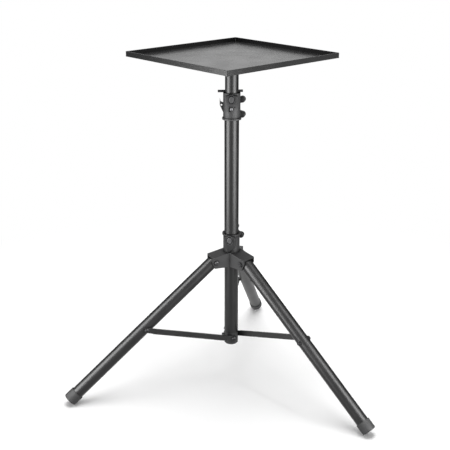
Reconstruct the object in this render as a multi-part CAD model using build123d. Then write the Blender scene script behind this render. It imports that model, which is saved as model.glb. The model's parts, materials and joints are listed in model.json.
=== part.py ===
import os
from math import atan2, cos, degrees, hypot, radians, sin, sqrt

from build123d import *

# Portable stand: a square rimmed tray on a mast that slides in a column, on three folding legs.
# Millimetres, +Z up, origin on the floor under the column, tray edges along X and Y.

# Clearances
RUNNING_GAP = 0.3
SEAT_GAP = 0.1

# Column and mast
COLUMN_DIAMETER = 35.0
COLUMN_WALL = 1.2
COLUMN_LENGTH = 611.0
MAST_WALL = 1.5
MAST_LENGTH = 640.0
MAST_STANDOUT = 82.0

# Tripod stance
LEG_AZIMUTHS = {"front": 276.7, "left": 156.7, "right": 36.7}
LEG_SPLAY = 49.5
LEG_LENGTH = 500.0
LEG_DIAMETER = 31.0
LEG_WALL = 1.5
LEG_PIVOT_RADIUS = 46.0
LEG_TOP_REACH = 9.0
LEG_MITRE_RISE = 8.0
LEG_PIVOT_BOLT_DIAMETER = 8.0

# Rubber feet
FOOT_DIAMETER = 35.0
FOOT_LENGTH = 27.0
FOOT_FLOOR = 6.0
FOOT_EDGE = 3.0

# Braces
BASE_PIVOT_HEIGHT = 120.0
BRACE_BOLT_DISTANCE = 240.0
BRACE_HEIGHT = 14.0
BRACE_SHEET = 1.5
BRACE_FLANGE = 4.0
BRACE_END_FLAT = 16.0
BRACE_BOLT_DIAMETER = 6.0
BOLT_HEAD_DIAMETER = 11.0
BOLT_HEAD_HEIGHT = 3.0

# Base plug at the foot of the column
BASE_DROP = 18.0
BASE_RISE = 14.0
BASE_SPIGOT = 22.0
BASE_BOSS_DIAMETER = 18.0
BASE_BOSS_STANDOUT = 0.5
BASE_EDGE = 2.0
BASE_SCREW_GRIP = 8.0

# Hub that slides on the column and carries the legs
HUB_ARM_REACH = 57.0
HUB_CHEEK_REACH = 50.0
HUB_CHEEK_WALL = 4.25
HUB_CHEEK_GAP = 0.5
HUB_CHEEK_DROP = 15.0
HUB_ROOF_RISE = 25.8
HUB_ROOF_END_RISE = 12.3
HUB_ROOF_END_HEIGHT = 12.0
HUB_ROOF_WALL = 3.0
HUB_SLOT_START = 26.0
HUB_SLEEVE_RISE = 69.0
HUB_KNOB_DROP = 15.0
HUB_BOSS_AZIMUTH = 216.0

# Clamp collar on top of the column
COLLAR_LENGTH = 64.0
COLLAR_CAP = 12.0
COLLAR_KNOB_DROP = 42.0
COLLAR_BOSS_AZIMUTH = 225.0
COLLAR_SCREW_DROP = 36.0
COLLAR_SCREW_DIAMETER = 7.0
COLLAR_SCREW_HEIGHT = 1.5

# Moulding shared by the hub sleeve and the clamp collar
SLEEVE_WALL = 3.0
RIM_HEIGHT = 4.0
RIM_STANDOUT = 2.4
BOSS_DIAMETER = 22.0
BOSS_TIP_DIAMETER = 10.0
BOSS_TIP_DROP = 20.0
BOSS_STANDOUT = 3.0
BOSS_DROP = 13.0
BOSS_DISH_DIAMETER = 16.0
BOSS_DISH_DEPTH = 1.0

# Clamp knobs
KNOB_AZIMUTH = 36.7
KNOB_LOBES = 4
KNOB_LOBE_RADIUS = 24.0
KNOB_LOBE_DIAMETER = 14.8
KNOB_CORE_DIAMETER = 34.0
KNOB_THICKNESS = 14.0
KNOB_NECK_DIAMETER = 18.0
KNOB_NECK_LENGTH = 6.0
KNOB_BOSS_DIAMETER = 19.0
KNOB_BOSS_STANDOUT = 6.0
KNOB_STUD_DIAMETER = 8.0
KNOB_STUD_LENGTH = 7.0
COLLAR_KNOB_TURN = 45.0
HUB_KNOB_TURN = -20.0

# Eye lug on the collar
LUG_AZIMUTH = 137.6
LUG_THICKNESS = 4.0
LUG_REACH = 8.0
LUG_HEIGHT = 34.0
LUG_TOP_DROP = 13.0
LUG_EYE_DIAMETER = 4.6

# Height pin through the mast
PIN_AZIMUTH = -38.0
PIN_DIAMETER = 6.0
PIN_LONG_END = 33.0
PIN_SHORT_END = 26.0
PIN_HOLE_SPACING = 50.0
PIN_HOLES = 9

# Tray and the flange under it
TRAY_SIZE = 350.0
TRAY_SHEET = 1.5
TRAY_LIP = 12.0
TRAY_CORNER_SLIT = 1.0
FLANGE_SIZE = 110.0
FLANGE_SHEET = 3.0
FLANGE_SOCKET_LENGTH = 38.0
FLANGE_SOCKET_WALL = 2.5
FLANGE_SCREW_SPACING = 80.0
FLANGE_SCREW_DIAMETER = 5.0
FLANGE_SCREW_HEAD = 9.0
FLANGE_SCREW_HEAD_HEIGHT = 3.0

# Sizes that follow from the ones above
column_radius = COLUMN_DIAMETER / 2
column_bore = column_radius - COLUMN_WALL
mast_radius = column_bore - RUNNING_GAP
leg_radius = LEG_DIAMETER / 2
splay = radians(LEG_SPLAY)
foot_ring = FOOT_DIAMETER / 2 - FOOT_EDGE
foot_end_height = foot_ring * sin(splay) + FOOT_EDGE * (1 - cos(splay))
pivot_height = foot_end_height + LEG_LENGTH * cos(splay)
brace_bolt_radius = LEG_PIVOT_RADIUS + BRACE_BOLT_DISTANCE * sin(splay)
brace_bolt_height = pivot_height - BRACE_BOLT_DISTANCE * cos(splay)
brace_rise = brace_bolt_height - BASE_PIVOT_HEIGHT
brace_length = hypot(brace_bolt_radius, brace_rise)
brace_angle = degrees(atan2(brace_rise, brace_bolt_radius))
base_seat = column_radius + BASE_BOSS_STANDOUT
brace_face = base_seat + RUNNING_GAP
base_bottom = BASE_PIVOT_HEIGHT - BASE_DROP
column_bottom = BASE_PIVOT_HEIGHT + BASE_RISE
column_top = column_bottom + COLUMN_LENGTH
collar_top = column_top + COLLAR_CAP
collar_bottom = collar_top - COLLAR_LENGTH
hub_top = pivot_height + HUB_SLEEVE_RISE
sleeve_radius = column_radius + SLEEVE_WALL
rim_radius = sleeve_radius + RIM_STANDOUT
knob_boss_face = sleeve_radius + KNOB_BOSS_STANDOUT
mast_top = collar_top + MAST_STANDOUT
pin_height = collar_top + RUNNING_GAP + PIN_DIAMETER / 2
arm_half_width = leg_radius + HUB_CHEEK_GAP + HUB_CHEEK_WALL
folded_rise = sqrt(brace_length**2 - LEG_PIVOT_RADIUS**2)
hub_travel = BASE_PIVOT_HEIGHT + folded_rise + BRACE_BOLT_DISTANCE - pivot_height

leg_frame = Plane(
    origin=(LEG_PIVOT_RADIUS, 0, pivot_height),
    x_dir=(0, 1, 0),
    z_dir=(sin(splay), 0, -cos(splay)),
).location

STAND = (Align.CENTER, Align.CENTER, Align.MIN)


def rod(radius, bottom, top):
    return Pos(0, 0, bottom) * Cylinder(radius, top - bottom, align=STAND)


def pipe(radius, wall, bottom, top):
    return rod(radius, bottom, top) - rod(radius - wall, bottom, top)


def cross_rod(radius, start, end, out, height):
    """Rod along Y from start to end, at a radius out and a height."""
    return Pos(out, start, height) * Rot(-90, 0, 0) * Cylinder(radius, end - start, align=STAND)


def radial_rod(radius, start, end, height):
    """Rod along X from start to end, at a height."""
    return Pos(start, 0, height) * Rot(0, 90, 0) * Cylinder(radius, end - start, align=STAND)


def turned(shape, azimuth):
    return Rot(0, 0, azimuth) * shape


def profile_slab(points, half_width):
    """Outline in the upright radial plane, thickened to both sides."""
    return extrude(Plane.XZ * Polygon(*points, align=None), amount=half_width, both=True)


# Column and its base plug
def column_tube():
    return pipe(column_radius, COLUMN_WALL, column_bottom, column_top)


def base_plug():
    body = rod(column_radius, base_bottom, column_bottom)
    body = chamfer(body.edges().group_by(Axis.Z)[0], BASE_EDGE)
    body += rod(column_bore - SEAT_GAP, column_bottom, column_bottom + BASE_SPIGOT)
    boss = cross_rod(BASE_BOSS_DIAMETER / 2, 0, base_seat, 0, BASE_PIVOT_HEIGHT)
    hole = cross_rod(
        BRACE_BOLT_DIAMETER / 2 + SEAT_GAP, base_seat - BASE_SCREW_GRIP, base_seat, 0, BASE_PIVOT_HEIGHT
    )
    for azimuth in LEG_AZIMUTHS.values():
        body += turned(boss, azimuth)
    for azimuth in LEG_AZIMUTHS.values():
        body -= turned(hole, azimuth)
    return body


def base_screw():
    grip = cross_rod(
        BRACE_BOLT_DIAMETER / 2,
        base_seat - BASE_SCREW_GRIP,
        brace_face + BRACE_SHEET + RUNNING_GAP,
        0,
        BASE_PIVOT_HEIGHT,
    )
    head_start = brace_face + BRACE_SHEET + RUNNING_GAP
    head = cross_rod(
        BOLT_HEAD_DIAMETER / 2, head_start, head_start + BOLT_HEAD_HEIGHT, 0, BASE_PIVOT_HEIGHT
    )
    return grip + head


# Clamp collar and hub
def front_boss(height):
    """Shield-shaped boss with a round dish, standing out along +X."""
    circle = Circle(BOSS_DIAMETER / 2)
    tip = Pos(0, -BOSS_TIP_DROP) * Circle(BOSS_TIP_DIAMETER / 2)
    outline = make_hull(circle.edges() + tip.edges())
    face = Plane(origin=(0, 0, height), x_dir=(0, 1, 0), z_dir=(1, 0, 0))
    shield = extrude(face * outline, amount=sleeve_radius + BOSS_STANDOUT)
    outer = sleeve_radius + BOSS_STANDOUT
    return shield - radial_rod(BOSS_DISH_DIAMETER / 2, outer - BOSS_DISH_DEPTH, outer, height)


def knob_boss(height):
    return radial_rod(KNOB_BOSS_DIAMETER / 2, 0, knob_boss_face, height)


def stud_hole(height):
    return radial_rod(
        KNOB_STUD_DIAMETER / 2 + RUNNING_GAP, knob_boss_face - KNOB_STUD_LENGTH, knob_boss_face, height
    )


def eye_lug():
    top = collar_top - LUG_TOP_DROP
    outer = sleeve_radius + LUG_REACH
    root = sleeve_radius - SLEEVE_WALL / 2
    low = top - LUG_HEIGHT
    outline = [
        (root, low),
        (sleeve_radius, low),
        (outer, low + LUG_HEIGHT / 2),
        (outer, top),
        (outer - LUG_REACH / 4, top - LUG_HEIGHT / 4),
        (root, top - LUG_HEIGHT / 3),
    ]
    eye_out = outer - LUG_REACH / 2
    eye = cross_rod(
        LUG_EYE_DIAMETER / 2, -LUG_THICKNESS, LUG_THICKNESS, eye_out, top - LUG_HEIGHT / 2
    )
    return profile_slab(outline, LUG_THICKNESS / 2) - eye


def upper_collar():
    body = rod(sleeve_radius, collar_bottom, collar_top)
    body += rod(rim_radius, collar_bottom, collar_bottom + RIM_HEIGHT)
    body += turned(front_boss(collar_top - BOSS_DROP), COLLAR_BOSS_AZIMUTH)
    body += turned(knob_boss(collar_top - COLLAR_KNOB_DROP), KNOB_AZIMUTH)
    body += turned(eye_lug(), LUG_AZIMUTH)
    body -= rod(column_radius + SEAT_GAP, collar_bottom, column_top)
    body -= rod(column_bore, column_top, collar_top)
    body -= turned(stud_hole(collar_top - COLLAR_KNOB_DROP), KNOB_AZIMUTH)
    return body


def collar_screw():
    outer = sleeve_radius + BOSS_STANDOUT
    head = radial_rod(
        COLLAR_SCREW_DIAMETER / 2, outer, outer + COLLAR_SCREW_HEIGHT, collar_top - COLLAR_SCREW_DROP
    )
    return turned(head, COLLAR_BOSS_AZIMUTH)


def hub_arm():
    outline = [
        (0, pivot_height - HUB_CHEEK_DROP),
        (HUB_CHEEK_REACH, pivot_height - HUB_CHEEK_DROP),
        (HUB_ARM_REACH, pivot_height + HUB_ROOF_END_RISE - HUB_ROOF_END_HEIGHT),
        (HUB_ARM_REACH, pivot_height + HUB_ROOF_END_RISE),
        (0, pivot_height + HUB_ROOF_RISE),
    ]
    return profile_slab(outline, arm_half_width)


def hub_leg_slot():
    slope = (HUB_ROOF_END_RISE - HUB_ROOF_RISE) / HUB_ARM_REACH
    beyond = HUB_ARM_REACH + LEG_DIAMETER
    low = pivot_height - LEG_DIAMETER
    ceiling = pivot_height + HUB_ROOF_RISE - HUB_ROOF_WALL
    outline = [
        (HUB_SLOT_START, low),
        (beyond, low),
        (beyond, ceiling + slope * beyond),
        (HUB_SLOT_START, ceiling + slope * HUB_SLOT_START),
    ]
    return profile_slab(outline, leg_radius + HUB_CHEEK_GAP)


def hub_spider():
    knob_height = hub_top - HUB_KNOB_DROP
    body = rod(sleeve_radius, pivot_height, hub_top)
    body += rod(rim_radius, hub_top - RIM_HEIGHT, hub_top)
    body += turned(front_boss(hub_top - BOSS_DROP), HUB_BOSS_AZIMUTH)
    body += turned(knob_boss(knob_height), KNOB_AZIMUTH)
    for azimuth in LEG_AZIMUTHS.values():
        body += turned(hub_arm(), azimuth)
    bolt_hole = cross_rod(
        LEG_PIVOT_BOLT_DIAMETER / 2 + SEAT_GAP,
        -arm_half_width,
        arm_half_width,
        LEG_PIVOT_RADIUS,
        pivot_height,
    )
    for azimuth in LEG_AZIMUTHS.values():
        body -= turned(hub_leg_slot(), azimuth)
        body -= turned(bolt_hole, azimuth)
    body -= rod(column_radius + RUNNING_GAP, pivot_height - LEG_DIAMETER, hub_top)
    body -= turned(stud_hole(knob_height), KNOB_AZIMUTH)
    return body


def leg_pivot_bolt():
    shank = cross_rod(
        LEG_PIVOT_BOLT_DIAMETER / 2, -arm_half_width, arm_half_width, LEG_PIVOT_RADIUS, pivot_height
    )
    head = cross_rod(
        BOLT_HEAD_DIAMETER / 2,
        arm_half_width,
        arm_half_width + BOLT_HEAD_HEIGHT,
        LEG_PIVOT_RADIUS,
        pivot_height,
    )
    nut = cross_rod(
        BOLT_HEAD_DIAMETER / 2,
        -arm_half_width - BOLT_HEAD_HEIGHT,
        -arm_half_width,
        LEG_PIVOT_RADIUS,
        pivot_height,
    )
    return shank + head + nut


# Legs and feet
def leg_tube():
    tube = leg_frame * pipe(leg_radius, LEG_WALL, -LEG_TOP_REACH, LEG_LENGTH - FOOT_FLOOR)
    mitre = Pos(LEG_PIVOT_RADIUS, 0, pivot_height + LEG_MITRE_RISE) * Box(
        4 * LEG_DIAMETER, 2 * LEG_DIAMETER, LEG_DIAMETER, align=STAND
    )
    pivot_hole = cross_rod(
        LEG_PIVOT_BOLT_DIAMETER / 2 + RUNNING_GAP, -leg_radius, leg_radius, LEG_PIVOT_RADIUS, pivot_height
    )
    nut_hole = cross_rod(
        BRACE_BOLT_DIAMETER / 2 + SEAT_GAP, -leg_radius, 0, brace_bolt_radius, brace_bolt_height
    )
    return tube - mitre - pivot_hole - nut_hole


def foot_cap():
    cap = rod(FOOT_DIAMETER / 2, LEG_LENGTH - FOOT_LENGTH, LEG_LENGTH)
    cap = fillet(cap.edges().group_by(Axis.Z)[-1], FOOT_EDGE)
    cap -= rod(leg_radius + SEAT_GAP, LEG_LENGTH - FOOT_LENGTH, LEG_LENGTH - FOOT_FLOOR)
    return leg_frame * cap


def leg_nut():
    head = cross_rod(
        BOLT_HEAD_DIAMETER / 2,
        -leg_radius - BOLT_HEAD_HEIGHT,
        -leg_radius,
        brace_bolt_radius,
        brace_bolt_height,
    )
    shank = cross_rod(
        BRACE_BOLT_DIAMETER / 2, -leg_radius, LEG_WALL - leg_radius, brace_bolt_radius, brace_bolt_height
    )
    return head + shank


# Braces between the base plug and the legs
def brace_channel():
    web_plane = Plane(
        origin=(0, brace_face, BASE_PIVOT_HEIGHT),
        x_dir=(brace_bolt_radius, 0, brace_rise),
        z_dir=(0, 1, 0),
    )
    strip = Pos(brace_length / 2, 0) * SlotCenterToCenter(brace_length, BRACE_HEIGHT)
    web = extrude(strip, amount=BRACE_SHEET)
    flange_length = brace_length - 2 * BRACE_END_FLAT
    flange_shift = (BRACE_HEIGHT - BRACE_SHEET) / 2
    channel = web
    for side in (-1, 1):
        channel += Pos(brace_length / 2, side * flange_shift, 0) * Box(
            flange_length, BRACE_SHEET, BRACE_FLANGE, align=STAND
        )
    pivot_hole = BRACE_BOLT_DIAMETER / 2 + RUNNING_GAP
    bolt_hole = BRACE_BOLT_DIAMETER / 2 + SEAT_GAP
    channel -= rod(pivot_hole, 0, BRACE_SHEET)
    channel -= Pos(brace_length, 0) * rod(bolt_hole, 0, BRACE_SHEET)
    return web_plane.location * channel


def brace_bolt():
    spacer = cross_rod(
        BOLT_HEAD_DIAMETER / 2, leg_radius + RUNNING_GAP, brace_face, brace_bolt_radius, brace_bolt_height
    )
    head_start = brace_face + BRACE_SHEET
    shank = cross_rod(
        BRACE_BOLT_DIAMETER / 2, brace_face, head_start, brace_bolt_radius, brace_bolt_height
    )
    head = cross_rod(
        BOLT_HEAD_DIAMETER / 2,
        head_start,
        head_start + BOLT_HEAD_HEIGHT,
        brace_bolt_radius,
        brace_bolt_height,
    )
    return spacer + shank + head


# Knobs
def knob(height, turn):
    neck_start = knob_boss_face + RUNNING_GAP
    disc_start = neck_start + KNOB_NECK_LENGTH
    outline = Circle(KNOB_CORE_DIAMETER / 2)
    for lobe in range(KNOB_LOBES):
        spoke = Rot(0, 0, 360 / KNOB_LOBES * lobe) * (
            Pos(KNOB_LOBE_RADIUS / 2, 0) * SlotCenterToCenter(KNOB_LOBE_RADIUS, KNOB_LOBE_DIAMETER)
        )
        outline += spoke
    disc = Pos(0, 0, disc_start) * extrude(outline, amount=KNOB_THICKNESS)
    neck = rod(KNOB_NECK_DIAMETER / 2, neck_start, disc_start)
    lay = Plane(origin=(0, 0, height), x_dir=(0, -1, 0), z_dir=(1, 0, 0)).location
    return turned(lay * Rot(0, 0, turn) * (disc + neck), KNOB_AZIMUTH)


def knob_stud(height):
    stud = radial_rod(
        KNOB_STUD_DIAMETER / 2,
        knob_boss_face - KNOB_STUD_LENGTH + RUNNING_GAP,
        knob_boss_face + RUNNING_GAP,
        height,
    )
    return turned(stud, KNOB_AZIMUTH)


# Mast, height pin and tray
def pin_bore(height):
    bore = radial_rod(PIN_DIAMETER / 2 + RUNNING_GAP, -2 * mast_radius, 2 * mast_radius, height)
    return turned(bore, PIN_AZIMUTH)


def mast_tube():
    mast = pipe(mast_radius, MAST_WALL, mast_top - MAST_LENGTH, mast_top)
    for hole in range(PIN_HOLES):
        mast -= pin_bore(pin_height - hole * PIN_HOLE_SPACING)
    return mast


def height_pin():
    return turned(radial_rod(PIN_DIAMETER / 2, -PIN_LONG_END, PIN_SHORT_END, pin_height), PIN_AZIMUTH)


def tray_pan():
    pan = Pos(0, 0, mast_top) * Box(TRAY_SIZE, TRAY_SIZE, TRAY_LIP, align=STAND)
    inside = TRAY_SIZE - 2 * TRAY_SHEET
    pan -= Pos(0, 0, mast_top + TRAY_SHEET) * Box(inside, inside, TRAY_LIP, align=STAND)
    corner = TRAY_SIZE / 2
    for x in (-corner, corner):
        for y in (-corner, corner):
            pan -= Pos(x, y, mast_top + TRAY_SHEET) * Rot(0, 0, degrees(atan2(y, x))) * Box(
                8 * TRAY_SHEET, TRAY_CORNER_SLIT, TRAY_LIP, align=STAND
            )
    for x, y in screw_places():
        pan -= Pos(x, y, 0) * rod(FLANGE_SCREW_DIAMETER / 2 + SEAT_GAP, mast_top, mast_top + TRAY_SHEET)
    return pan


def screw_places():
    half = FLANGE_SCREW_SPACING / 2
    return [(x, y) for x in (-half, half) for y in (-half, half)]


def tray_flange():
    socket_radius = mast_radius + SEAT_GAP + FLANGE_SOCKET_WALL
    plate_bottom = mast_top - FLANGE_SHEET
    flange = Pos(0, 0, plate_bottom) * Box(FLANGE_SIZE, FLANGE_SIZE, FLANGE_SHEET, align=STAND)
    flange += rod(socket_radius, mast_top - FLANGE_SOCKET_LENGTH, mast_top)
    flange -= rod(mast_radius + SEAT_GAP, mast_top - FLANGE_SOCKET_LENGTH, mast_top)
    for x, y in screw_places():
        flange -= Pos(x, y, 0) * rod(FLANGE_SCREW_DIAMETER / 2 + SEAT_GAP, plate_bottom, mast_top)
    return flange


def tray_screws():
    head_top = mast_top - FLANGE_SHEET
    shank = rod(FLANGE_SCREW_DIAMETER / 2, head_top, mast_top + TRAY_SHEET)
    head = rod(FLANGE_SCREW_HEAD / 2, head_top - FLANGE_SCREW_HEAD_HEIGHT, head_top)
    screw = shank + head
    return Compound(children=[Pos(x, y, 0) * screw for x, y in screw_places()])


nodes = {
    "column_tube": column_tube(),
    "base_plug": base_plug(),
    "upper_collar": upper_collar(),
    "collar_screw": collar_screw(),
    "hub_spider": hub_spider(),
    "mast_tube": mast_tube(),
    "height_pin": height_pin(),
    "tray_pan": tray_pan(),
    "tray_flange": tray_flange(),
    "tray_screws": tray_screws(),
    "collar_knob": knob(collar_top - COLLAR_KNOB_DROP, COLLAR_KNOB_TURN),
    "collar_knob_stud": knob_stud(collar_top - COLLAR_KNOB_DROP),
    "hub_knob": knob(hub_top - HUB_KNOB_DROP, HUB_KNOB_TURN),
    "hub_knob_stud": knob_stud(hub_top - HUB_KNOB_DROP),
}
for side, azimuth in LEG_AZIMUTHS.items():
    nodes["base_screw_" + side] = turned(base_screw(), azimuth)
    nodes["leg_bolt_" + side] = turned(leg_pivot_bolt(), azimuth)
    nodes["leg_tube_" + side] = turned(leg_tube(), azimuth)
    nodes["foot_cap_" + side] = turned(foot_cap(), azimuth)
    nodes["leg_nut_" + side] = turned(leg_nut(), azimuth)
    nodes["brace_" + side] = turned(brace_channel(), azimuth)
    nodes["brace_bolt_" + side] = turned(brace_bolt(), azimuth)

os.makedirs("parts", exist_ok=True)
for name, shape in nodes.items():
    export_step(shape, "parts/" + name + ".step")

print("pivot height", round(pivot_height, 2), "hub travel", round(hub_travel, 2))
print("brace length", round(brace_length, 2), "angle", round(brace_angle, 2))
print("collar", round(collar_bottom, 2), round(collar_top, 2), "mast top", round(mast_top, 2))
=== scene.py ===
import json
import math

import bpy
from mathutils import Matrix, Vector


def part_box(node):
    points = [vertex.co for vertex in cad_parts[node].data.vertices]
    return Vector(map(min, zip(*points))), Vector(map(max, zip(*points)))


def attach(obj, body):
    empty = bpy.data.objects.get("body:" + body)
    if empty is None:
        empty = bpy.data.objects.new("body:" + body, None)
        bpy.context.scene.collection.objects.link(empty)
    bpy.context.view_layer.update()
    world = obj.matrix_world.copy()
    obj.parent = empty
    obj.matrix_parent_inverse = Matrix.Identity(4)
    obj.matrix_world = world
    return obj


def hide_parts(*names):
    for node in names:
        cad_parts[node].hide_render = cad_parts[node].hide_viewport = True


# Portable stand: finishes, fasteners, floor, light and camera, in metres, in the frame of the CAD model.
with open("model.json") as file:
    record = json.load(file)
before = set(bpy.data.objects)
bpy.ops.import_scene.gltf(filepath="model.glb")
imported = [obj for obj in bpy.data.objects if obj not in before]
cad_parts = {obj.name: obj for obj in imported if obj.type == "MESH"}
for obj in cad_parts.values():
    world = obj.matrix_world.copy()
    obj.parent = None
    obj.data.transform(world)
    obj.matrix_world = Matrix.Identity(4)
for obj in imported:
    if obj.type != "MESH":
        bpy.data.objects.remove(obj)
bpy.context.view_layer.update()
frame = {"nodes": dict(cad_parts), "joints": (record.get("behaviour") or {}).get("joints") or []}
nodes = frame["nodes"]
joint_axis = {joint["name"]: Vector(joint["axis"]) for joint in frame["joints"]}
SIDES = ("front", "left", "right")

# Camera of the photograph
IMAGE_WIDTH = 450
SENSOR_WIDTH = 36.0
FOCAL_LENGTH_PIXELS = 873.7
CAMERA_PLACE = (-1.3865, -1.4920, 1.1647)
CAMERA_HEADING = math.radians(42.45)
CAMERA_PITCH = math.radians(19.96)

# Light
STRIP_DISTANCE = 1.3
STRIP_WIDTH = 0.95
STRIP_BOTTOM = 0.02
STRIP_MIDDLE = 0.83
STRIP_TOP = 1.92
LEFT_STRIP_TURN = math.radians(-62)
RIGHT_STRIP_TURN = math.radians(48)
LEFT_STRIP_POWER_PER_METRE = 46.3
RIGHT_STRIP_POWER_PER_METRE = 42.1
TOP_LIGHT_HEIGHT = 2.6
TOP_LIGHT_SIZE = 1.6
TOP_LIGHT_POWER = 54.0
FILL_LEVEL = 0.66

# Dark cards that only reflections show
CARD_DISTANCE = 1.0
CARD_WIDTH = 1.3
CARD_HEIGHT = 0.95
CARD_TURN = math.radians(130)
CARD_LEVEL = 0.02
CARD_ROUGHNESS = 1.0

# Floor
FLOOR_SIZE = 60.0
FLOOR_LEVEL = 0.98
FLOOR_ROUGHNESS = 0.9
FLOOR_LIT_REACH = 0.6
FLOOR_FADE_REACH = 1.3

# Noise and shading that the finishes share
BLUE_SHARE = 1.03
NOISE_LOW = 0.3
NOISE_HIGH = 0.7
CLOUD_DETAIL = 3.0
GRAIN_DETAIL = 2.0
EDGE_SAMPLES = 6
# Painted shade in hollows: occlusion samples, and the occlusion at which the shade is darkest and at which
# it clears
HOLLOW_SAMPLES = 8
HOLLOW_DARK = 0.45
HOLLOW_CLEAR = 0.95

# Finishes: sizes, depths and edge radii in metres, shades as shares of the level, roughness about its middle
PAINT_CLOUD = 0.05
PAINT_SHADES = (0.9, 1.12)
PAINT_ROUGHNESS = (-0.03, 0.04)
PAINT_PEEL_DEPTH = 0.00003
PAINT_EDGE = 0.0006
PAINT_SPECULAR = 0.3
PLASTIC_CLOUD = 0.03
PLASTIC_SHADES = (0.88, 1.12)
PLASTIC_ROUGHNESS = (-0.05, 0.06)
PLASTIC_GRAIN = 0.0009
PLASTIC_GRAIN_DEPTH = 0.00005
PLASTIC_EDGE = 0.0008
PLASTIC_SPECULAR = 0.22
# Reach of the painted shade in the plastic's hollows
PLASTIC_HOLLOW = 0.01
RUBBER_BLOOM = 0.012
RUBBER_BLOOM_DETAIL = 5.0
RUBBER_SHADES = (0.8, 1.3)
RUBBER_ROUGHNESS = (-0.08, 0.08)
RUBBER_GRAIN = 0.0006
RUBBER_GRAIN_DEPTH = 0.00004
RUBBER_EDGE = 0.0008
RUBBER_SPECULAR = 0.35
STEEL_CLOUD = 0.004
STEEL_SHADES = (0.85, 1.1)
STEEL_ROUGHNESS = (-0.06, 0.08)
STEEL_MARKS = 0.0005
STEEL_MARK_DEPTH = 0.00001
STEEL_EDGE = 0.0002

# Turned pieces
TURNED_STEPS = 72
SMOOTH_ANGLE = math.radians(35)
SAME_POINT_DIGITS = 6
FLAT_TOLERANCE = 0.00001

# Fastener heads, as shares of the head's radius
HEAD_RINGS = 6
HEAD_RISE = 0.32
SOCKET_FLAT = 0.46
CROSS_REACH = 0.62
CROSS_CORNER = math.radians(15)

# Threaded bolt ends
THREAD_RADIUS = 0.0029
THREAD_DEPTH = 0.0003
THREAD_PITCH = 0.0008
THREAD_TURNS = 3
THREAD_END = 0.0006

# Clamp knobs, with the turn of the first lobe from the horizontal
KNOB_LOBES = 4
KNOB_ARC_STEPS = 16
KNOB_NECK_RADIUS = 0.008
KNOB_NECK_LENGTH = 0.006
KNOB_THICKNESS = 0.014
KNOB_EDGE = 0.0025
COLLAR_KNOB = {"lobe_reach": 0.026, "lobe_radius": 0.008, "waist": 0.0085, "turn": math.radians(45)}
HUB_KNOB = {"lobe_reach": 0.018, "lobe_radius": 0.0075, "waist": 0.0125, "turn": math.radians(14)}

# Rounded edge of a knob: inset and depth as shares of its size
KNOB_ROUNDING = ((1.0, 0.0), (0.3, 0.3), (0.0, 1.0))

# Cap on a knob: radius and height above the knob's face
KNOB_CAP_OUTLINE = (
    (0.0056, -0.0005),
    (0.0056, 0.0004),
    (0.0051, 0.0008),
    (0.0041, 0.0008),
    (0.0038, 0.0004),
    (0.0033, 0.0004),
    (0.0030, 0.0008),
    (0.0, 0.0010),
)

# Shields over the two bosses, with outlines to the right and up from the middle of the pad
COLLAR_BOSS_AZIMUTH = math.radians(225)
HUB_BOSS_AZIMUTH = math.radians(216)
BOSS_DROP = 0.013
SHIELD_STANDOUT = 0.0016
SHIELD_DEPTH = 0.0115
SHIELD_EDGE = 0.001
SHIELD_EDGE_SHARE = 0.93
COLLAR_SHIELD = (
    (0.0, 0.0124),
    (-0.014, 0.008),
    (-0.014, -0.019),
    (-0.006, -0.0295),
    (-0.006, -0.017),
    (0.014, -0.017),
    (0.014, 0.008),
)
HUB_SHIELD = (
    (0.0, 0.0124),
    (-0.014, 0.008),
    (-0.014, -0.017),
    (0.0, -0.029),
    (0.014, -0.017),
    (0.014, 0.008),
)

# Pad on a shield: raised ring, groove and dome, as shares of the half sizes and heights above the shield
PAD_HALF_WIDTH = 0.0062
PAD_HALF_HEIGHT = 0.0082
PAD_OUTLINE = (
    (1.45, 0.0),
    (1.42, 0.001),
    (1.36, 0.0014),
    (1.28, 0.0014),
    (1.22, 0.0),
    (1.02, 0.0),
    (0.97, 0.001),
    (0.8, 0.0014),
    (0.4, 0.0016),
    (0.0, 0.0017),
)

# Dark pieces in the corner slits of the tray, painted shade that stands in for the shadow in the slits
SLIT_SHADE_WIDTH = 0.0009
SLIT_SHADE_RECESS = 0.0012
SLIT_SHADE_DEPTH = 0.0024
TRAY_SHEET = 0.0015


# Node helpers
def new_material(name):
    material = bpy.data.materials.new(name)
    material.use_nodes = True
    tree = material.node_tree
    return material, tree, tree.nodes["Principled BSDF"]


def link(tree, source, target):
    tree.links.new(source, target)


def object_noise(tree, size, detail):
    """Noise whose grain is about size metres across, fixed to the piece."""
    place = tree.nodes.new("ShaderNodeTexCoord")
    noise = tree.nodes.new("ShaderNodeTexNoise")
    noise.inputs["Scale"].default_value = 1.0 / size
    noise.inputs["Detail"].default_value = detail
    link(tree, place.outputs["Object"], noise.inputs["Vector"])
    return noise.outputs["Fac"]


def grey(level):
    return (level, level, level * BLUE_SHARE, 1.0)


def shaded(tree, noise, level, shades):
    """Grey that goes from one share of a level to another over the middle of the noise."""
    node = tree.nodes.new("ShaderNodeValToRGB")
    for element, place, share in zip(node.color_ramp.elements, (NOISE_LOW, NOISE_HIGH), shades):
        element.position = place
        element.color = grey(share * level)
    link(tree, noise, node.inputs["Fac"])
    return node.outputs["Color"]


def varied(tree, noise, middle, spread):
    """Number that goes from one side of its middle to the other over the middle of the noise."""
    node = tree.nodes.new("ShaderNodeMapRange")
    node.inputs["From Min"].default_value = NOISE_LOW
    node.inputs["From Max"].default_value = NOISE_HIGH
    node.inputs["To Min"].default_value = middle + spread[0]
    node.inputs["To Max"].default_value = middle + spread[1]
    link(tree, noise, node.inputs["Value"])
    return node.outputs["Result"]


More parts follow.
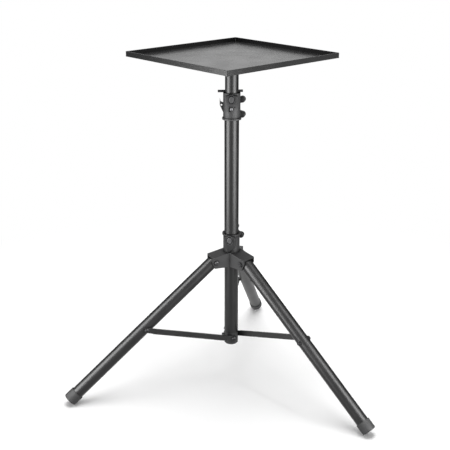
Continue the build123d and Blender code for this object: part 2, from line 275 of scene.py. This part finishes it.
def painted_hollow_shade(tree, reach):
    """Painted shade: 1 on open faces, and less in hollows that are narrower than a reach in metres."""
    node = tree.nodes.new("ShaderNodeAmbientOcclusion")
    node.samples = HOLLOW_SAMPLES
    node.inputs["Distance"].default_value = reach
    share = tree.nodes.new("ShaderNodeMapRange")
    share.inputs["From Min"].default_value = HOLLOW_DARK
    share.inputs["From Max"].default_value = HOLLOW_CLEAR
    link(tree, node.outputs["AO"], share.inputs["Value"])
    return share.outputs["Result"]


def scaled(tree, colour, share):
    node = tree.nodes.new("ShaderNodeVectorMath")
    node.operation = "SCALE"
    link(tree, colour, node.inputs[0])
    link(tree, share, node.inputs["Scale"])
    return node.outputs["Vector"]


def times(tree, share, number):
    node = tree.nodes.new("ShaderNodeMath")
    node.operation = "MULTIPLY"
    node.inputs[1].default_value = number
    link(tree, share, node.inputs[0])
    return node.outputs[0]


def grained(tree, noise, depth, edge):
    """Normal of a grain of some depth over sharp edges that are rounded by a radius."""
    rounded = tree.nodes.new("ShaderNodeBevel")
    rounded.samples = EDGE_SAMPLES
    rounded.inputs["Radius"].default_value = edge
    node = tree.nodes.new("ShaderNodeBump")
    node.inputs["Strength"].default_value = 1.0
    node.inputs["Distance"].default_value = depth
    link(tree, noise, node.inputs["Height"])
    link(tree, rounded.outputs["Normal"], node.inputs["Normal"])
    return node.outputs["Normal"]


# Materials
def paint(name, level, roughness, grain):
    """Satin charcoal paint with a fine orange-peel surface."""
    material, tree, shader = new_material(name)
    cloud = object_noise(tree, PAINT_CLOUD, CLOUD_DETAIL)
    peel = object_noise(tree, grain, GRAIN_DETAIL)
    link(tree, shaded(tree, cloud, level, PAINT_SHADES), shader.inputs["Base Color"])
    link(tree, varied(tree, cloud, roughness, PAINT_ROUGHNESS), shader.inputs["Roughness"])
    link(tree, grained(tree, peel, PAINT_PEEL_DEPTH, PAINT_EDGE), shader.inputs["Normal"])
    shader.inputs["Specular IOR Level"].default_value = PAINT_SPECULAR
    return material


def moulded_plastic(name, level, roughness):
    """Moulded plastic with a spark-eroded grain, and painted shade that darkens its colour and gloss in its
    hollows.
    """
    material, tree, shader = new_material(name)
    cloud = object_noise(tree, PLASTIC_CLOUD, CLOUD_DETAIL)
    grain = object_noise(tree, PLASTIC_GRAIN, GRAIN_DETAIL)
    # Painted shade: colour and gloss darken in hollows
    share = painted_hollow_shade(tree, PLASTIC_HOLLOW)
    colour = shaded(tree, cloud, level, PLASTIC_SHADES)
    link(tree, scaled(tree, colour, share), shader.inputs["Base Color"])
    link(tree, times(tree, share, PLASTIC_SPECULAR), shader.inputs["Specular IOR Level"])
    link(tree, varied(tree, grain, roughness, PLASTIC_ROUGHNESS), shader.inputs["Roughness"])
    link(tree, grained(tree, grain, PLASTIC_GRAIN_DEPTH, PLASTIC_EDGE), shader.inputs["Normal"])
    return material


def rubber(name, level, roughness):
    """Matte rubber with a dusty bloom."""
    material, tree, shader = new_material(name)
    bloom = object_noise(tree, RUBBER_BLOOM, RUBBER_BLOOM_DETAIL)
    grain = object_noise(tree, RUBBER_GRAIN, GRAIN_DETAIL)
    link(tree, shaded(tree, bloom, level, RUBBER_SHADES), shader.inputs["Base Color"])
    link(tree, varied(tree, bloom, roughness, RUBBER_ROUGHNESS), shader.inputs["Roughness"])
    link(tree, grained(tree, grain, RUBBER_GRAIN_DEPTH, RUBBER_EDGE), shader.inputs["Normal"])
    shader.inputs["Specular IOR Level"].default_value = RUBBER_SPECULAR
    return material


def plated_steel(name, level, roughness):
    """Plated steel with fine turning marks."""
    material, tree, shader = new_material(name)
    cloud = object_noise(tree, STEEL_CLOUD, CLOUD_DETAIL)
    marks = object_noise(tree, STEEL_MARKS, GRAIN_DETAIL)
    link(tree, shaded(tree, cloud, level, STEEL_SHADES), shader.inputs["Base Color"])
    link(tree, varied(tree, marks, roughness, STEEL_ROUGHNESS), shader.inputs["Roughness"])
    link(tree, grained(tree, marks, STEEL_MARK_DEPTH, STEEL_EDGE), shader.inputs["Normal"])
    shader.inputs["Metallic"].default_value = 1.0
    return material


# Finishes: a material and the name of a slot
tube_paint = (paint("tube_paint", 0.010, 0.36, 0.0011), "painted_tube")
strip_paint = (paint("strip_paint", 0.010, 0.4, 0.001), "painted_strip")
tray_paint = (paint("tray_paint", 0.010, 0.26, 0.0008), "painted_tray")
hub_plastic = (moulded_plastic("hub_plastic", 0.036, 0.5), "moulded_plastic")
# Lighter copy of the moulded plastic for the pads, a painted highlight on their domes
lit_pad_plastic = (moulded_plastic("lit_pad_plastic", 0.12, 0.45), "moulded_plastic")
collar_plastic = (moulded_plastic("collar_plastic", 0.065, 0.55), "moulded_plastic")
knob_plastic = (moulded_plastic("knob_plastic", 0.03, 0.45), "knob_plastic")
foot_rubber = (rubber("foot_rubber", 0.018, 0.7), "foot_rubber")
# Dark rubber for the painted shade in the tray's corner slits
slit_shade_rubber = (foot_rubber[0], "painted_tray")
bright_steel = (plated_steel("bright_steel", 0.12, 0.5), "steel_hardware")
dull_steel = (plated_steel("dull_steel", 0.045, 0.5), "steel_hardware")
black_steel = (plated_steel("black_steel", 0.035, 0.4), "black_hardware")


def finish_node(name, finish):
    material, slot = finish
    node = nodes[name]
    node.data.materials.clear()
    node.data.materials.append(material)


for name in ("column_tube", "mast_tube"):
    finish_node(name, tube_paint)
for name in ("tray_pan", "tray_flange"):
    finish_node(name, tray_paint)
for name in ("hub_spider", "base_plug"):
    finish_node(name, hub_plastic)
finish_node("upper_collar", collar_plastic)
for name in ("collar_knob", "hub_knob"):
    finish_node(name, knob_plastic)
finish_node("height_pin", black_steel)
for name in ("collar_screw", "collar_knob_stud", "hub_knob_stud", "tray_screws"):
    finish_node(name, bright_steel)
for side in SIDES:
    finish_node("leg_tube_" + side, tube_paint)
    finish_node("foot_cap_" + side, foot_rubber)
    finish_node("brace_" + side, strip_paint)
    for fastener in ("base_screw_", "leg_bolt_", "leg_nut_", "brace_bolt_"):
        finish_node(fastener + side, black_steel)


# Shape helpers
def node_points(node):
    return [vertex.co for vertex in nodes[node].data.vertices]


def end_face(points, axis):
    """Centre and radius of the flat end that a round CAD piece turns towards an axis."""
    end = max(point.dot(axis) for point in points)
    flat = [point for point in points if end - point.dot(axis) < FLAT_TOLERANCE]
    rim = {tuple(round(value, SAME_POINT_DIGITS) for value in point) for point in flat}
    rim = [Vector(point) for point in rim]
    centre = sum(rim, Vector()) / len(rim)
    return centre, max((point - centre).length for point in rim)


def full_turn(steps):
    return [2 * math.pi * step / steps for step in range(steps)]


def turned_rings(outline):
    """Rings of points for an outline of radius and height that is turned about Z."""
    angles = full_turn(TURNED_STEPS)
    return [[(out * math.cos(a), out * math.sin(a), height) for a in angles] for out, height in outline]


def skin(ring_count, steps):
    """Faces between rings of points that follow one another."""
    faces = []
    for ring in range(ring_count - 1):
        for step in range(steps):
            here = ring * steps + step
            beside = ring * steps + (step + 1) % steps
            faces.append((here, beside, beside + steps, here + steps))
    return faces


def mesh_object(name, points, faces, material):
    mesh = bpy.data.meshes.new(name)
    mesh.from_pydata(points, [], faces)
    mesh.materials.append(material)
    item = bpy.data.objects.new(name, mesh)
    bpy.context.scene.collection.objects.link(item)
    return item


def add_piece(name, rings, centre, axis, finish, body, base=False, top=False):
    """Piece with a skin over rings of points and flat caps, set at a centre with its Z along an axis."""
    material, slot = finish
    points = [point for ring in rings for point in ring]
    steps = len(rings[0])
    faces = skin(len(rings), steps)
    caps = []
    if base:
        caps.append(tuple(reversed(range(steps))))
    if top:
        caps.append(tuple(range(len(points) - steps, len(points))))
    piece = mesh_object(name, points, faces + caps, material)
    piece.data.shade_smooth()
    for cap in piece.data.polygons[len(faces):]:
        cap.use_smooth = False
    piece.data.set_sharp_from_angle(angle=SMOOTH_ANGLE)
    turn = axis.to_track_quat("Z", "Y").to_matrix().to_4x4()
    piece.matrix_world = Matrix.Translation(centre) @ turn
    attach(piece, body)
    return piece


# Fastener heads and bolt ends
def hex_socket(angle):
    """Reach of a hexagon socket in a direction, as a share of the head's radius."""
    sixth = math.pi / 3
    return SOCKET_FLAT / math.cos((angle + sixth / 2) % sixth - sixth / 2)


def cross_recess(angle):
    """Reach of a cross recess in a direction, as a share of the head's radius."""
    quarter = math.pi / 2
    turn = abs((angle + quarter / 2) % quarter - quarter / 2)
    if turn < CROSS_CORNER:
        return CROSS_REACH / math.cos(turn)
    return CROSS_REACH * math.tan(CROSS_CORNER) / math.sin(turn)


def domed_head(name, points, axis, recess, finish, body):
    """Dome with a drive recess on the flat end of a CAD fastener."""
    centre, radius = end_face(points, axis)
    rings = []
    for ring in range(HEAD_RINGS + 1):
        circle = []
        for angle in full_turn(TURNED_STEPS):
            share = 1 + (recess(angle) - 1) * ring / HEAD_RINGS
            height = HEAD_RISE * radius * math.sqrt(1 - share**2)
            circle.append((share * radius * math.cos(angle), share * radius * math.sin(angle), height))
        rings.append(circle)
    rings.append([(x, y, 0.0) for x, y, height in rings[-1]])
    add_piece(name, rings, centre, axis, finish, body)


def bolt_end(name, points, axis, body):
    """Threaded end that stands out of a nut."""
    outline = [(THREAD_RADIUS, 0.0)]
    for turn in range(THREAD_TURNS):
        outline.append((THREAD_RADIUS - THREAD_DEPTH, (turn + 0.5) * THREAD_PITCH))
        outline.append((THREAD_RADIUS, (turn + 1) * THREAD_PITCH))
    top = THREAD_TURNS * THREAD_PITCH + THREAD_END
    outline += [(THREAD_RADIUS - THREAD_END, top), (0.0, top)]
    centre = end_face(points, axis)[0]
    add_piece(name, turned_rings(outline), centre, axis, black_steel, body)


for side in SIDES:
    across = joint_axis[side + "_leg_fold"]
    leg_bolt = node_points("leg_bolt_" + side)
    domed_head("leg_bolt_dome_" + side, leg_bolt, across, hex_socket, dull_steel, "hub")
    bolt_end("leg_bolt_end_" + side, leg_bolt, -across, "hub")
    base_screw = node_points("base_screw_" + side)
    domed_head("base_screw_dome_" + side, base_screw, across, hex_socket, black_steel, "column")
    brace_bolt = node_points("brace_bolt_" + side)
    domed_head("brace_bolt_dome_" + side, brace_bolt, across, hex_socket, black_steel, side + "_brace")
    bolt_end("brace_bolt_end_" + side, node_points("leg_nut_" + side), -across, side + "_leg")

collar_screw = node_points("collar_screw")
collar_screw_side = (sum(collar_screw, Vector()) * Vector((1, 1, 0))).normalized()
domed_head("collar_screw_dome", collar_screw, collar_screw_side, cross_recess, bright_steel, "column")

tray_screws = node_points("tray_screws")
down = Vector((0, 0, -1))
for sign_x in (-1, 1):
    for sign_y in (-1, 1):
        screw = [point for point in tray_screws if point.x * sign_x > 0 and point.y * sign_y > 0]
        domed_head(f"tray_screw_dome_{sign_x}_{sign_y}", screw, down, cross_recess, bright_steel, "mast")


# Clamp knobs
def arc(reach, direction, radius, start, end):
    """Points along an arc whose centre lies at a reach in a direction."""
    x = reach * math.cos(direction)
    y = reach * math.sin(direction)
    angles = [start + (end - start) * step / KNOB_ARC_STEPS for step in range(KNOB_ARC_STEPS + 1)]
    return [(x + radius * math.cos(angle), y + radius * math.sin(angle)) for angle in angles]


def knob_outline(inset, lobe_reach, lobe_radius, waist, turn):
    """Outline of round lobes that run into round waists, moved inwards by an inset."""
    half_pitch = math.pi / KNOB_LOBES
    span = 2 * lobe_reach * math.cos(half_pitch)
    waist_radius = lobe_reach**2 + waist**2 - span * waist - lobe_radius**2
    waist_radius /= span + 2 * (lobe_radius - waist)
    waist_reach = waist + waist_radius
    aside = waist_reach * math.sin(half_pitch)
    along = waist_reach * math.cos(half_pitch) - lobe_reach
    lean = math.atan2(aside, along)
    points = []
    for lobe in range(KNOB_LOBES):
        out = turn + 2 * half_pitch * lobe
        points += arc(lobe_reach, out, lobe_radius - inset, out - lean, out + lean)
        between = out + half_pitch
        start = out + lean + math.pi
        end = 2 * (between + math.pi) - start
        points += arc(waist_reach, between, waist_radius + inset, start, end)[1:-1]
    return points


def clamp_knob(node, joint, body, shape):
    """Lobed knob with the neck behind it and the cap on its face."""
    axis = joint_axis[joint]
    foot = end_face(node_points(node + "_stud"), axis)[0]
    top = KNOB_NECK_LENGTH + KNOB_THICKNESS

    def ring(inset_share, height):
        return [(x, y, height) for x, y in knob_outline(inset_share * KNOB_EDGE, **shape)]

    rings = [ring(inset, KNOB_NECK_LENGTH + depth * KNOB_EDGE) for inset, depth in KNOB_ROUNDING]
    rings += [ring(inset, top - depth * KNOB_EDGE) for inset, depth in reversed(KNOB_ROUNDING)]
    lobes = add_piece(node + "_lobes", rings, foot, axis, knob_plastic, body, base=True, top=True)
    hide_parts(node)
    neck = turned_rings(((KNOB_NECK_RADIUS, 0.0), (KNOB_NECK_RADIUS, KNOB_NECK_LENGTH + KNOB_EDGE)))
    add_piece(node + "_neck", neck, foot, axis, knob_plastic, body)
    add_piece(node + "_cap", turned_rings(KNOB_CAP_OUTLINE), foot + top * axis, axis, knob_plastic, body)


clamp_knob("collar_knob", "upper_knob_turn", "upper_knob", COLLAR_KNOB)
clamp_knob("hub_knob", "lower_knob_turn", "lower_knob", HUB_KNOB)


# Shields and pads on the bosses
def boss_shield(name, node, azimuth, outline, finish, body):
    """Shield over a boss, and the oval pad on it."""
    axis = Vector((math.cos(azimuth), math.sin(azimuth), 0))
    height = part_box(node)[1].z - BOSS_DROP
    near = [point for point in node_points(node) if abs(point.z - height) < BOSS_DROP]
    centre = axis * (max(point.dot(axis) for point in near) + SHIELD_STANDOUT)
    centre.z = height
    rings = [[(x, y, -depth) for x, y in outline] for depth in (SHIELD_DEPTH, SHIELD_EDGE)]
    rings.append([(SHIELD_EDGE_SHARE * x, SHIELD_EDGE_SHARE * y, 0.0) for x, y in outline])
    add_piece(name + "_shield", rings, centre, axis, finish, body, top=True)
    oval = []
    for ring in turned_rings(PAD_OUTLINE):
        oval.append([(x * PAD_HALF_WIDTH, y * PAD_HALF_HEIGHT, z) for x, y, z in ring])
    # The pad takes the lighter copy of the plastic, a painted highlight
    add_piece(name + "_pad", oval, centre, axis, lit_pad_plastic, body)


boss_shield("collar", "upper_collar", COLLAR_BOSS_AZIMUTH, COLLAR_SHIELD, collar_plastic, "column")
boss_shield("hub", "hub_spider", HUB_BOSS_AZIMUTH, HUB_SHIELD, hub_plastic, "hub")


# Painted shade in the corner slits of the tray
def slit_shade_piece(name, corner, top):
    """Dark piece in a corner slit of the tray, set back from the corner: painted shade that stands in for
    the shadow in the slit.
    """
    inward = Vector((-corner.x, -corner.y, 0)).normalized()
    across = Vector((-inward.y, inward.x, 0))
    half = SLIT_SHADE_WIDTH / 2
    front = SLIT_SHADE_RECESS
    back = SLIT_SHADE_RECESS + SLIT_SHADE_DEPTH
    outline = (
        (front, half),
        (front + half, 0),
        (front, -half),
        (back, -half),
        (back - half, 0),
        (back, half),
    )
    points = []
    for height in (corner.z, top):
        for along, aside in outline:
            spot = corner + along * inward + aside * across
            points.append((spot.x, spot.y, height))
    steps = len(outline)
    faces = skin(2, steps)
    faces.append(tuple(range(steps, 2 * steps)))
    material, slot = slit_shade_rubber
    slit_shade = mesh_object(name, points, faces, material)
    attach(slit_shade, "mast")


# Painted shade in each of the four corner slits
tray_low, tray_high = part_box("tray_pan")
for x, x_name in ((tray_low.x, "left"), (tray_high.x, "right")):
    for y, y_name in ((tray_low.y, "front"), (tray_high.y, "back")):
        foot = Vector((x, y, tray_low.z + TRAY_SHEET))
        slit_shade_piece(f"tray_slit_shade_{y_name}_{x_name}", foot, tray_high.z)


# Stage: a pale floor and a white surround
def maths(tree, operation, first, second):
    node = tree.nodes.new("ShaderNodeMath")
    node.operation = operation
    link(tree, first, node.inputs[0])
    link(tree, second, node.inputs[1])
    return node.outputs[0]


def seen_directly(tree, camera_share=None):
    """1 for what a camera, a reflection or a clear piece sees, and 0 for the light that is given off."""
    path = tree.nodes.new("ShaderNodeLightPath")
    total = path.outputs["Is Camera Ray"]
    if camera_share is not None:
        total = maths(tree, "MULTIPLY", total, camera_share)
    for kind in ("Is Glossy Ray", "Is Transmission Ray"):
        total = maths(tree, "MAXIMUM", total, path.outputs[kind])
    return total


def white_surround():
    world = bpy.data.worlds.new("white_surround")
    world.use_nodes = True
    tree = world.node_tree
    background = tree.nodes["Background"]
    background.inputs["Color"].default_value = (1.0, 1.0, 1.0, 1.0)
    level = tree.nodes.new("ShaderNodeMapRange")
    level.inputs["To Min"].default_value = FILL_LEVEL
    level.inputs["To Max"].default_value = 1.0
    link(tree, seen_directly(tree), level.inputs["Value"])
    link(tree, level.outputs["Result"], background.inputs["Strength"])
    bpy.context.scene.world = world


def matte_material(name, level, roughness):
    """Plain grey without gloss."""
    material, tree, shader = new_material(name)
    shader.inputs["Base Color"].default_value = (level, level, level, 1.0)
    shader.inputs["Roughness"].default_value = roughness
    shader.inputs["Specular IOR Level"].default_value = 0.0
    return material, tree, shader


def floor_material():
    """White floor that is lit by the lamps near the stand and runs out into the white surround."""
    material, tree, shader = matte_material("pale_floor", FLOOR_LEVEL, FLOOR_ROUGHNESS)
    place = tree.nodes.new("ShaderNodeTexCoord")
    reach = tree.nodes.new("ShaderNodeVectorMath")
    reach.operation = "LENGTH"
    link(tree, place.outputs["Object"], reach.inputs[0])
    fade = tree.nodes.new("ShaderNodeMapRange")
    fade.interpolation_type = "SMOOTHSTEP"
    fade.inputs["From Min"].default_value = FLOOR_LIT_REACH
    fade.inputs["From Max"].default_value = FLOOR_FADE_REACH
    link(tree, reach.outputs["Value"], fade.inputs["Value"])
    glow = tree.nodes.new("ShaderNodeEmission")
    mix = tree.nodes.new("ShaderNodeMixShader")
    link(tree, seen_directly(tree, fade.outputs["Result"]), mix.inputs["Fac"])
    link(tree, shader.outputs["BSDF"], mix.inputs[1])
    link(tree, glow.outputs["Emission"], mix.inputs[2])
    link(tree, mix.outputs["Shader"], tree.nodes["Material Output"].inputs["Surface"])
    return material


def floor():
    half = FLOOR_SIZE / 2
    corners = [(-half, -half, 0), (half, -half, 0), (half, half, 0), (-half, half, 0)]
    plane = mesh_object("floor", corners, [(0, 1, 2, 3)], floor_material())


def beside_stand(distance, turn):
    """Place on the floor at a distance from the column and a turn to the right of the camera."""
    towards_camera = Vector((-math.sin(CAMERA_HEADING), -math.cos(CAMERA_HEADING), 0))
    image_right = Vector((math.cos(CAMERA_HEADING), -math.sin(CAMERA_HEADING), 0))
    return distance * (math.cos(turn) * towards_camera + math.sin(turn) * image_right)


def area_light(name, place, target, width, height, power, lights_matte=True):
    lamp = bpy.data.lights.new(name, "AREA")
    lamp.shape = "RECTANGLE"
    lamp.size = width
    lamp.size_y = height
    lamp.energy = power
    light = bpy.data.objects.new(name, lamp)
    light.location = place
    light.rotation_euler = (Vector(target) - Vector(place)).to_track_quat("-Z", "Y").to_euler()
    light.visible_camera = False
    light.visible_diffuse = lights_matte
    bpy.context.scene.collection.objects.link(light)
    return light


def studio_light():
    """Strips that draw bands on the tubes, and a soft light from above."""
    tray = bpy.data.collections.new("out_of_the_high_strips")
    tray.objects.link(nodes["tray_pan"])
    tray.collection_objects[0].light_linking.link_state = "EXCLUDE"
    strips = (
        ("left", LEFT_STRIP_TURN, LEFT_STRIP_POWER_PER_METRE),
        ("right", RIGHT_STRIP_TURN, RIGHT_STRIP_POWER_PER_METRE),
    )
    halves = (("low", STRIP_BOTTOM, STRIP_MIDDLE), ("high", STRIP_MIDDLE, STRIP_TOP))
    for side, turn, power in strips:
        for half, low, high in halves:
            length = high - low
            target = Vector((0, 0, (low + high) / 2))
            place = beside_stand(STRIP_DISTANCE, turn) + target
            name = f"{side}_strip_{half}"
            strip = area_light(name, place, target, STRIP_WIDTH, length, power * length, lights_matte=False)
            # The high halves leave the tray out, whose floor would mirror them as white
            if half == "high":
                strip.light_linking.receiver_collection = tray
    above = (0, 0, TOP_LIGHT_HEIGHT)
    area_light("top_light", above, (0, 0, 0), TOP_LIGHT_SIZE, TOP_LIGHT_SIZE, TOP_LIGHT_POWER)


def dark_card(name, turn):
    """Dark card beside the stand that only reflections show."""
    half = CARD_WIDTH / 2
    corners = [(-half, 0, 0), (half, 0, 0), (half, 0, CARD_HEIGHT), (-half, 0, CARD_HEIGHT)]
    material = matte_material(name, CARD_LEVEL, CARD_ROUGHNESS)[0]
    card = mesh_object(name, corners, [(0, 1, 2, 3)], material)
    away = beside_stand(CARD_DISTANCE, turn)
    card.location = away
    card.rotation_euler = (0, 0, math.atan2(away.y, away.x) + math.pi / 2)
    card.visible_camera = False
    card.visible_diffuse = False
    card.visible_transmission = False
    card.visible_shadow = False


def photo_camera():
    lens = bpy.data.cameras.new("photo_camera")
    lens.sensor_width = SENSOR_WIDTH
    lens.lens = FOCAL_LENGTH_PIXELS * SENSOR_WIDTH / IMAGE_WIDTH
    camera = bpy.data.objects.new("photo_camera", lens)
    camera.location = CAMERA_PLACE
    camera.rotation_euler = (math.pi / 2 - CAMERA_PITCH, 0, -CAMERA_HEADING)
    bpy.context.scene.collection.objects.link(camera)
    bpy.context.scene.camera = camera


white_surround()
floor()
studio_light()
dark_card("left_card", -CARD_TURN)
dark_card("right_card", CARD_TURN)
photo_camera()
bpy.context.scene.view_settings.view_transform = "Standard"
